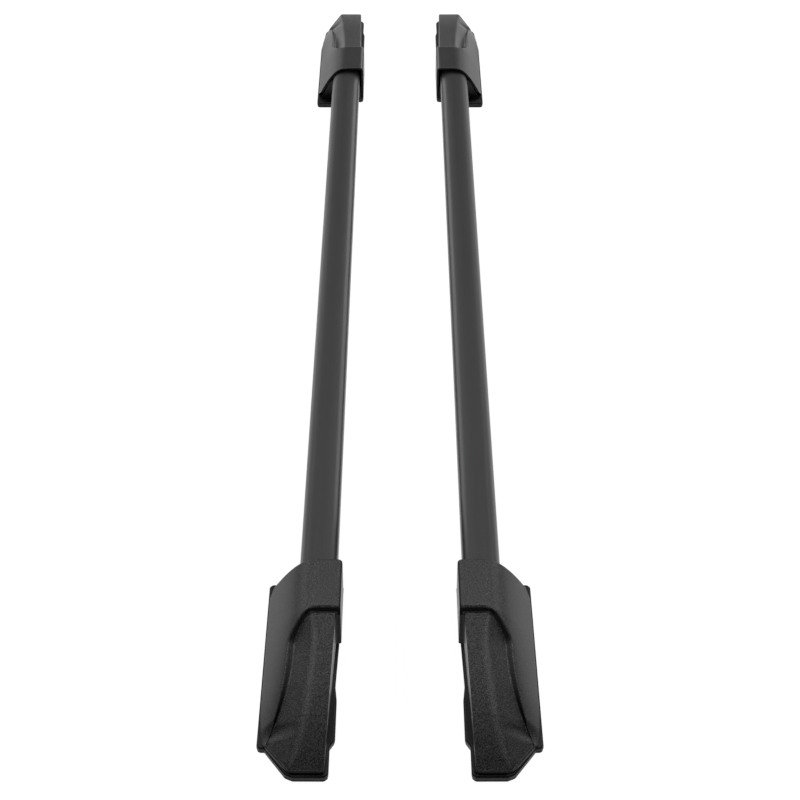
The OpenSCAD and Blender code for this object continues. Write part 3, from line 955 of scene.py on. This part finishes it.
    def soft_ridge(self, y: float, t: float, ridge: float, soft: float) -> Array:
        """Round turn from the top of the nose to its outer facet.

        Args:
            y: Distance from the mouth.
            t: How far the surface is set in.
            ridge: Place of the ridge across the cover.
            soft: Half width of the turn.

        Returns:
            The turn's points, without its first one.
        """
        s = np.linspace(0, 1, 9)[1:, None]
        a = np.array([ridge + soft, float(self.body_z(y, ridge + soft, t))])
        b = np.array([ridge, float(self.body_z(y, ridge, t))])
        c = np.array([ridge - soft, float(self.body_z(y, ridge - soft, t))])
        return a * (1 - s) ** 2 + 2 * b * s * (1 - s) + c * s * s


def smoothed(rows: Array, times: int, hold: Array) -> Array:
    """Softens the creases of a grid of points.

    Args:
        rows: Points as an array of rows, columns and three numbers.
        times: How many light passes are made.
        hold: Columns that stay where they are.

    Returns:
        The softened grid.
    """
    out = rows.copy()
    for _ in range(times):
        mid = out.copy()
        mid[:, 1:-1] = out[:, 1:-1] * 0.5 + (out[:, :-2] + out[:, 2:]) * 0.25
        mid[1:-1, :, 0::2] = mid[1:-1, :, 0::2] * 0.5 + (mid[:-2, :, 0::2] + mid[2:, :, 0::2]) * 0.25
        mid[:, hold] = out[:, hold]
        out = mid
    return out


@dataclass
class FootCover:
    """Moulded cover of one foot: collar, wing and stepped nose in one thin shell. Sizes in mm.

    A boss's place is given across the foot and along it: the first boss's from the mouth, and
    the last one's from the end of the nose.
    """

    side: Side
    end: End
    finishes: Finishes
    rim_r: float = 0.9
    end_r: float = 1.4
    corner_r: float = 4.0
    lean: float = 2.2
    first_boss: Pair = (-33.0, 45.0)
    last_boss: Pair = (-2.0, 31.0)
    boss_r: float = 4.5
    bore_r: float = 1.95
    bore_depth: float = 9.0
    rib_wall: float = 2.0

    @property
    def node(self) -> str:
        """Name of the CAD node that the cover stands for."""
        return f"{self.side.name.lower()}_{self.end.name.lower()}_cover"

    @property
    def shape(self) -> CoverShape:
        """The cover's surface: the front feet flare more, and their noses end lower and softer."""
        if self.end is End.FRONT:
            return CoverShape(flare=54.5, taper=4.5, tip_h=13.0, tip_out=21.5, tip_in=14.7)
        return CoverShape(
            flare=44.5,
            taper=8.0,
            tip_h=21.5,
            tip_out=17.0,
            tip_in=18.0,
            ridge_soft=3.0,
            ridge_pull=(-6.0, -9.0),
            wing_root=15.0,
            wing_pull=19.0,
            wing_out=26.0,
        )

    def stations(self) -> Array:
        """Distances from the mouth at which the cover has a section."""
        s = self.shape
        step = s.collar_len
        spans = (
            (0, self.rim_r, 5),
            (2, s.cut_len, 6),
            (s.cut_len, step - 5, 14),
            (step - 5, step + 6, 25),
            (step + 6, step + 50, 30),
            (step + 50, s.slant_start - 22, 30),
            (s.slant_start - 22, s.length - self.end_r, 44),
            (s.length - self.end_r, s.length, 6),
        )
        return np.unique(np.round(np.concatenate([np.linspace(a, b, n) for a, b, n in spans]), 4))

    def roundness(self, y: float) -> float:
        """How far the outside is set in at y, for the round mouth rim and nose end."""
        s = self.shape
        a = max(0.0, 1 - y / self.rim_r)
        b = max(0.0, (y - s.length + self.end_r) / self.end_r)
        return self.rim_r * (1 - math.sqrt(1 - a * a)) + self.end_r * (1 - math.sqrt(max(0.0, 1 - b * b)))

    def tip_formed(self, rows: Array) -> Array:
        """Rounds the nose's corners in plan and leans its end wall back over the base.

        Args:
            rows: Outer surface in the foot's own frame.

        Returns:
            The same surface with its end formed.
        """
        s = self.shape
        out = rows.copy()
        x, y, z = (rows[..., i] for i in range(3))
        middle = (s.tip_in - s.tip_out) / 2
        half = (s.tip_in + s.tip_out) / 2
        near = ramp(s.length - self.corner_r, s.length, y)
        drawn = self.corner_r * (1 - np.sqrt(1 - near**2))
        out[..., 0] = middle + (x - middle) * (half - drawn) / half
        low = 1 - ramp(s.seat, s.seat + 4.0, z)
        out[..., 1] = y - self.lean * ramp(s.length - 10, s.length, y) * low
        return out

    def shell(self) -> Skin:
        """Gathers the outer and inner surfaces and the edges that join them."""
        s = self.shape
        ys = self.stations()
        outer, inner = [], []
        for y in ys:
            cut = s.cut_z(y)
            ring = s.section(y, self.roundness(y) * 0.98, s.seat, cut)
            outer.append([(x, y, z) for x, z in ring])
            back = min(y, s.length - s.wall)
            ring = s.section(back + s.wall, s.wall, s.seat, s.cut_z(back))
            inner.append([(x, back, z) for x, z in ring])
        hold = np.array([0, -1, -2, -3, -4])
        a_rows = self.tip_formed(smoothed(np.array(outer), 2, hold))
        b_rows = np.array(inner)
        last = len(ys) - int(np.sum(ys > s.length - s.wall))
        b_rows = b_rows[: last + 1] if last < len(ys) else b_rows
        skin = Skin()
        a = skin.grid(self.placed(a_rows))
        b = skin.grid(self.placed(b_rows), flip=True)
        skin.band(a[0], b[0], flip=True)
        for column, flip in ((0, False), (-1, True)):
            b_column = np.concatenate([b[:, column], np.full(len(a) - len(b), b[-1, column])])
            skin.band(a[:, column], b_column, flip)
        skin.cap(a[-1])
        skin.cap(b[-1], flip=True)
        skin.faces.append((int(a[-1][0]), int(b[-1][0]), int(b[-1][-1]), int(a[-1][-1])))
        self.add_boss(skin, *self.first_boss)
        self.add_boss(skin, self.last_boss[0], s.length - self.last_boss[1])
        bend_end = s.collar_len + s.wing_len
        for y in (s.collar_len - 14, bend_end, (bend_end + s.slant_start) / 2):
            self.add_rib(skin, y)
        return skin

    def inside_z(self, x: Array, y: Array) -> Array:
        """Height a little above the shell's inner surface, inward of the ramp."""
        s = self.shape
        return s.body_z(np.asarray(y) + s.wall, x, s.wall) + 0.8

    def add_boss(self, skin: Skin, x: float, y: float) -> None:
        """Adds a screw boss that rises into the shell's wall.

        Args:
            skin: The cover's points and faces.
            x: The boss's place across the foot.
            y: Its distance from the mouth.
        """
        s = self.shape
        turn = np.linspace(0, 2 * math.pi, 33)[:-1]
        cos, sin, flat = np.cos(turn), np.sin(turn), np.full(len(turn), s.seat)
        roof = self.inside_z(x + self.boss_r * cos, y + self.boss_r * sin)
        rings = []
        for r, level in (
            (self.bore_r, flat + self.bore_depth),
            (self.bore_r, flat),
            (self.boss_r, flat),
            (self.boss_r, roof),
        ):
            rings.append(np.stack([x + r * cos, y + r * sin, level], -1))
        ids = skin.grid(self.placed(np.array(rings)), closed=True)
        skin.cap(ids[0])
        skin.cap(ids[-1], flip=True)

    def add_rib(self, skin: Skin, y: float) -> None:
        """Adds a rib across the hollow of the wing.

        Args:
            skin: The cover's points and faces.
            y: The rib's distance from the mouth.
        """
        s = self.shape
        far = float(s.edge_x(y, s.wall)) - 0.6
        near = min(-s.wing_out, float(s.wing_x(y + s.wall, s.wall)) - 2)
        xs = np.linspace(near, far, 14)
        flat = np.full(len(xs), s.seat)
        roof = np.maximum(s.flank_z(np.full(len(xs), y + s.wall), xs, s.wall) + 0.5, s.seat + 0.4)
        back = y + self.rib_wall
        rows = []
        for py, level in ((y, roof), (y, flat), (back, flat), (back, roof)):
            rows.append(np.stack([xs, np.full(len(xs), py), level], -1))
        rows.append(rows[0])
        ids = skin.grid(self.placed(np.array(rows)))
        for column, flip in ((0, False), (-1, True)):
            skin.cap(ids[:4, column], flip)

    def placed(self, rows: Array) -> Array:
        """Moves points from the foot's own frame to the row's frame, in mm.

        Args:
            rows: Points in the foot's own frame.

        Returns:
            The same points in the row's frame.
        """
        out = np.array(rows, float)
        out[..., 1] = (out[..., 1] + MOUTH_Y) * self.end.value
        return on_rail(out, self.side)

    def build(self) -> bpy.types.Object:
        """Builds the cover and puts it in the place of its CAD node.

        Returns:
            The dressed cover.
        """
        obj = self.shell().make(f"{self.node}_moulded")
        dress(obj, self.finishes.cover)
        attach(obj, "root")
        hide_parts(self.node)
        LOG.info("cover %s: %d faces", self.node, len(obj.data.polygons))
        return obj


@dataclass
class FootFrame:
    """Cast base, rubber gasket, inserts and screws of one foot. Sizes in mm."""

    side: Side
    end: End
    finishes: Finishes
    flange_top: float = 8.0
    flange_round: float = 0.7
    gasket_top: float = 3.0
    gasket_round: float = 0.56

    def node(self, piece: str) -> str:
        """Name of the CAD node of one of the foot's pieces."""
        return f"{self.side.name.lower()}_{self.end.name.lower()}_{piece}"

    def softened(self, piece: str, top: float, width: float) -> bpy.types.Object:
        """Copies a CAD node and bevels the edges that lie low enough.

        The bevel comes out under 0.005 mm wide, so it changes how the rim is shaded and not its shape.

        Args:
            piece: Which of the foot's pieces.
            top: Height in mm of the highest edges that are bevelled.
            width: Width in mm that is asked of the bevel.

        Returns:
            The new object, which stands for the node.
        """
        node = self.node(piece)
        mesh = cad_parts[node].data.copy()
        work = bmesh.new()
        work.from_mesh(mesh)
        bmesh.ops.remove_doubles(work, verts=work.verts, dist=0.002 * MM)
        bmesh.ops.dissolve_limit(work, angle_limit=math.radians(0.6), verts=work.verts, edges=work.edges)
        sharp = [
            e
            for e in work.edges
            if len(e.link_faces) == 2
            and e.is_convex
            and e.calc_face_angle(0.0) > math.radians(50)
            and max(v.co.z for v in e.verts) < (top + 0.05) * MM
            and abs(e.verts[0].co.z - e.verts[1].co.z) < 0.1 * MM
            and e.calc_length() > 1.2 * MM
        ]
        bmesh.ops.bevel(
            work, geom=sharp, offset=width * MM, segments=3, profile=0.5, affect="EDGES", clamp_overlap=True
        )
        bmesh.ops.triangulate(work, faces=[f for f in work.faces if len(f.verts) > 4])
        work.to_mesh(mesh)
        work.free()
        obj = bpy.data.objects.new(f"{node}_finished", mesh)
        bpy.context.scene.collection.objects.link(obj)
        shade(obj, CAD_CREASE)
        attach(obj, "root")
        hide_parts(node)
        return obj

    def build(self) -> None:
        """Finishes the base and the gasket and dresses the hardware."""
        base = self.softened("base", self.flange_top, self.flange_round)
        dress(base, self.finishes.base)
        gasket = self.softened("gasket", self.gasket_top, self.gasket_round)
        dress(gasket, self.finishes.gasket)
        for piece in ("inserts", "bar_screws", "cover_screws"):
            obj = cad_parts[self.node(piece)]
            dress(obj, self.finishes.steel)
            shade(obj, CAD_CREASE)
        LOG.info("foot frame %s: base %d faces", self.node("base"), len(base.data.polygons))


# The studio


class Axis(Enum):
    """Part of a direction that a band of the sky follows."""

    ACROSS = "X"
    ALONG = "Y"
    UP = "Z"


@dataclass(frozen=True)
class Band:
    """Soft change of brightness between two values of one part of the direction."""

    axis: Axis
    start: float
    end: float
    before: float
    after: float


SKY_BANDS: dict[str, tuple[Band, ...]] = {
    "both sides": (Band(Axis.ACROSS, 0.1, 0.44, 0.0, 0.57), Band(Axis.UP, 0.6, 0.85, 1.0, 0.0)),
    "far out to the sides": (Band(Axis.ACROSS, 0.52, 0.76, 0.0, -0.45),),
    "high over the rails": (Band(Axis.UP, 0.48, 0.76, 0.0, 0.9), Band(Axis.ACROSS, 0.1, 0.4, 1.0, 0.0)),
    "strips for the ridges": (
        Band(Axis.ACROSS, 0.06, 0.22, 0.0, 2.0),
        Band(Axis.ACROSS, 0.28, 0.46, 1.0, 0.0),
        Band(Axis.UP, 0.66, 0.8, 0.0, 1.0),
        Band(Axis.UP, 0.9, 0.98, 1.0, 0.3),
    ),
    "straight above": (Band(Axis.UP, 0.8, 0.95, 0.0, -1.15),),
    "behind the camera": (Band(Axis.ALONG, 0.1, -0.4, 0.0, -0.3),),
}


@dataclass
class Studio:
    """Floor, surroundings, lamps and camera. Sizes in metres."""

    camera_back: float = 2.099
    camera_up: float = 1.4802
    pitch: float = 38.0
    lens: float = 85.215
    floor_shade: float = 0.82
    floor_seen: float = 0.2
    floor_glow: float = 0.95
    sky_level: float = 0.18
    sky_least: float = 0.03
    card_far: float = 1.7
    flag_near: float = -1.0
    flag_low: float = 0.002
    flag_height: float = 0.045
    strip_near: float = -0.42
    strip_gap: float = 0.002
    strip_height: float = 0.12
    strip_glow: float = 1.5
    softbox_place: Place = (2.2, 1.4, 1.3)
    softbox_size: Pair = (2.2, 1.4)
    softbox_power: float = 3.0

    def seen_white(self, tree: Tree, lit: Node, white: Node) -> Node:
        """Shows white to camera, glossy and transmission rays, and the lit shader to all others.

        Args:
            tree: The node tree.
            lit: Shader for the other rays.
            white: Shader for the rays that see the background.

        Returns:
            The mixing node.
        """
        ray = tree.nodes.new("ShaderNodeLightPath")
        seen = ray.outputs["Is Camera Ray"]
        for name in ("Is Glossy Ray", "Is Transmission Ray"):
            most = tree.nodes.new("ShaderNodeMath")
            most.operation = "MAXIMUM"
            tree.links.new(seen, most.inputs[0])
            tree.links.new(ray.outputs[name], most.inputs[1])
            seen = most.outputs[0]
        mix = tree.nodes.new("ShaderNodeMixShader")
        tree.links.new(seen, mix.inputs[0])
        tree.links.new(lit.outputs[0], mix.inputs[1])
        tree.links.new(white.outputs[0], mix.inputs[2])
        return mix

    def floor(self) -> None:
        """Lays a pale floor that keeps the rails' shadow."""
        bpy.ops.mesh.primitive_plane_add(size=40, location=(0, 0, -0.0004))
        obj = bpy.context.object
        obj.name = "floor"
        material = bpy.data.materials.new("pale_floor")
        material.use_nodes = True
        tree = material.node_tree
        tree.nodes.clear()
        out = tree.nodes.new("ShaderNodeOutputMaterial")
        plain = tree.nodes.new("ShaderNodeBsdfDiffuse")
        plain.inputs["Color"].default_value = (*[self.floor_shade] * 3, 1)
        seen = tree.nodes.new("ShaderNodeBsdfDiffuse")
        seen.inputs["Color"].default_value = (*[self.floor_seen] * 3, 1)
        glow = tree.nodes.new("ShaderNodeEmission")
        glow.inputs["Strength"].default_value = self.floor_glow
        both = tree.nodes.new("ShaderNodeAddShader")
        tree.links.new(seen.outputs[0], both.inputs[0])
        tree.links.new(glow.outputs[0], both.inputs[1])
        mix = self.seen_white(tree, plain, both)
        tree.links.new(mix.outputs[0], out.inputs["Surface"])
        dress(obj, material)

    def card(self, name: str, near: float, low: float, height: float, glow: float) -> None:
        """Stands a long card between the rails, out of the camera's sight, for their inner sides.

        Args:
            name: Name of the card.
            near: Place along the rails of its near end in metres.
            low: Height of its lower edge in metres.
            height: Its height in metres.
            glow: How bright it is, from 0 for black cloth.
        """
        bpy.ops.mesh.primitive_plane_add(size=1, location=(0, (near + self.card_far) / 2, low + height / 2))
        obj = bpy.context.object
        obj.name = name
        obj.rotation_euler = (0, math.radians(90), 0)
        obj.scale = (height, self.card_far - near, 1)
        s = Shader(name)
        cloth = s.noise(s.places(), 60.0)
        s.tint(cloth, "Fac", (0.004, 0.004, 0.004), (0.01, 0.01, 0.01))
        s.body.inputs["Roughness"].default_value = 0.9
        s.body.inputs["Emission Color"].default_value = (1, 1, 1, 1)
        s.body.inputs["Emission Strength"].default_value = glow
        dress(obj, s.material)
        obj.visible_camera = False

    def brightness(self, tree: Tree, source: Socket, band: Band) -> Socket:
        """Turns a part of the direction into a band's brightness.

        Args:
            tree: The node tree.
            source: The part of the direction that the band follows.
            band: The band.

        Returns:
            The socket that holds the brightness.
        """
        node = tree.nodes.new("ShaderNodeMapRange")
        node.interpolation_type = "SMOOTHSTEP"
        values = {"From Min": band.start, "From Max": band.end, "To Min": band.before, "To Max": band.after}
        for name, value in values.items():
            node.inputs[name].default_value = value
        tree.links.new(source, node.inputs["Value"])
        return node.outputs["Result"]

    def combined(self, tree: Tree, how: str, a: Socket, b: Socket) -> Socket:
        """Adds or multiplies two sockets.

        Args:
            tree: The node tree.
            how: The operation's name.
            a: First socket.
            b: Second socket.

        Returns:
            The socket that holds the outcome.
        """
        node = tree.nodes.new("ShaderNodeMath")
        node.operation = how
        tree.links.new(a, node.inputs[0])
        tree.links.new(b, node.inputs[1])
        return node.outputs[0]

    def sky(self) -> None:
        """Surrounds the rails with soft light: a plain level, and broad bands lighter or darker than it."""
        world = bpy.data.worlds.new("studio")
        bpy.context.scene.world = world
        world.use_nodes = True
        tree = world.node_tree
        tree.nodes.clear()
        out = tree.nodes.new("ShaderNodeOutputWorld")
        coords = tree.nodes.new("ShaderNodeTexCoord")
        parts = tree.nodes.new("ShaderNodeSeparateXYZ")
        tree.links.new(coords.outputs["Generated"], parts.inputs[0])
        across = tree.nodes.new("ShaderNodeMath")
        across.operation = "ABSOLUTE"
        tree.links.new(parts.outputs["X"], across.inputs[0])
        source = {Axis.ACROSS: across.outputs[0], Axis.ALONG: parts.outputs["Y"], Axis.UP: parts.outputs["Z"]}
        level = tree.nodes.new("ShaderNodeValue")
        level.outputs[0].default_value = self.sky_level
        total = level.outputs[0]
        for bands in SKY_BANDS.values():
            part = self.brightness(tree, source[bands[0].axis], bands[0])
            for more in bands[1:]:
                factor = self.brightness(tree, source[more.axis], more)
                part = self.combined(tree, "MULTIPLY", part, factor)
            total = self.combined(tree, "ADD", total, part)
        least = tree.nodes.new("ShaderNodeMath")
        least.operation = "MAXIMUM"
        least.inputs[1].default_value = self.sky_least
        tree.links.new(total, least.inputs[0])
        light = tree.nodes.new("ShaderNodeBackground")
        light.inputs["Color"].default_value = (1, 1, 1, 1)
        tree.links.new(least.outputs[0], light.inputs["Strength"])
        tree.links.new(light.outputs[0], out.inputs["Surface"])

    def softbox(self, side: Side) -> None:
        """Hangs one soft lamp that looks at the middle of the rails from a side."""
        name = f"{side.name.lower()}_softbox"
        data = bpy.data.lights.new(name, "AREA")
        data.shape = "RECTANGLE"
        data.size, data.size_y = self.softbox_size
        data.energy = self.softbox_power
        obj = bpy.data.objects.new(name, data)
        out, back, up = self.softbox_place
        obj.location = (side.value * out, back, up)
        obj.rotation_euler = obj.location.to_track_quat("Z", "Y").to_euler()
        bpy.context.scene.collection.objects.link(obj)

    def camera(self) -> None:
        """Sets up the camera at the photograph's angle."""
        data = bpy.data.cameras.new("camera")
        data.lens = self.lens
        data.sensor_width = 36.0
        data.sensor_fit = "HORIZONTAL"
        obj = bpy.data.objects.new("camera", data)
        obj.location = (0, -self.camera_back, self.camera_up)
        obj.rotation_euler = (math.radians(90 - self.pitch), 0, 0)
        bpy.context.scene.collection.objects.link(obj)
        bpy.context.scene.camera = obj

    def build(self) -> None:
        """Builds the whole studio."""
        bpy.context.scene.view_settings.view_transform = "Standard"
        self.floor()
        strip_low = self.flag_low + self.flag_height + self.strip_gap
        self.card("black_flag", self.flag_near, self.flag_low, self.flag_height, 0.0)
        self.card("strip_light", self.strip_near, strip_low, self.strip_height, self.strip_glow)
        self.sky()
        for side in Side:
            self.softbox(side)
        self.camera()
        LOG.info("studio ready")


def main() -> None:
    """Builds the studio and every piece of the two rails, and reports each."""
    logging.basicConfig(level=logging.INFO, format="%(name)s: %(message)s")
    Studio().build()
    finishes = Finishes()
    for side in Side:
        RailBar(side, finishes).build()
        for end in End:
            FootFrame(side, end, finishes).build()
            FootCover(side, end, finishes).build()
    LOG.info("boxes written")


if __name__ == "__main__":
    main()
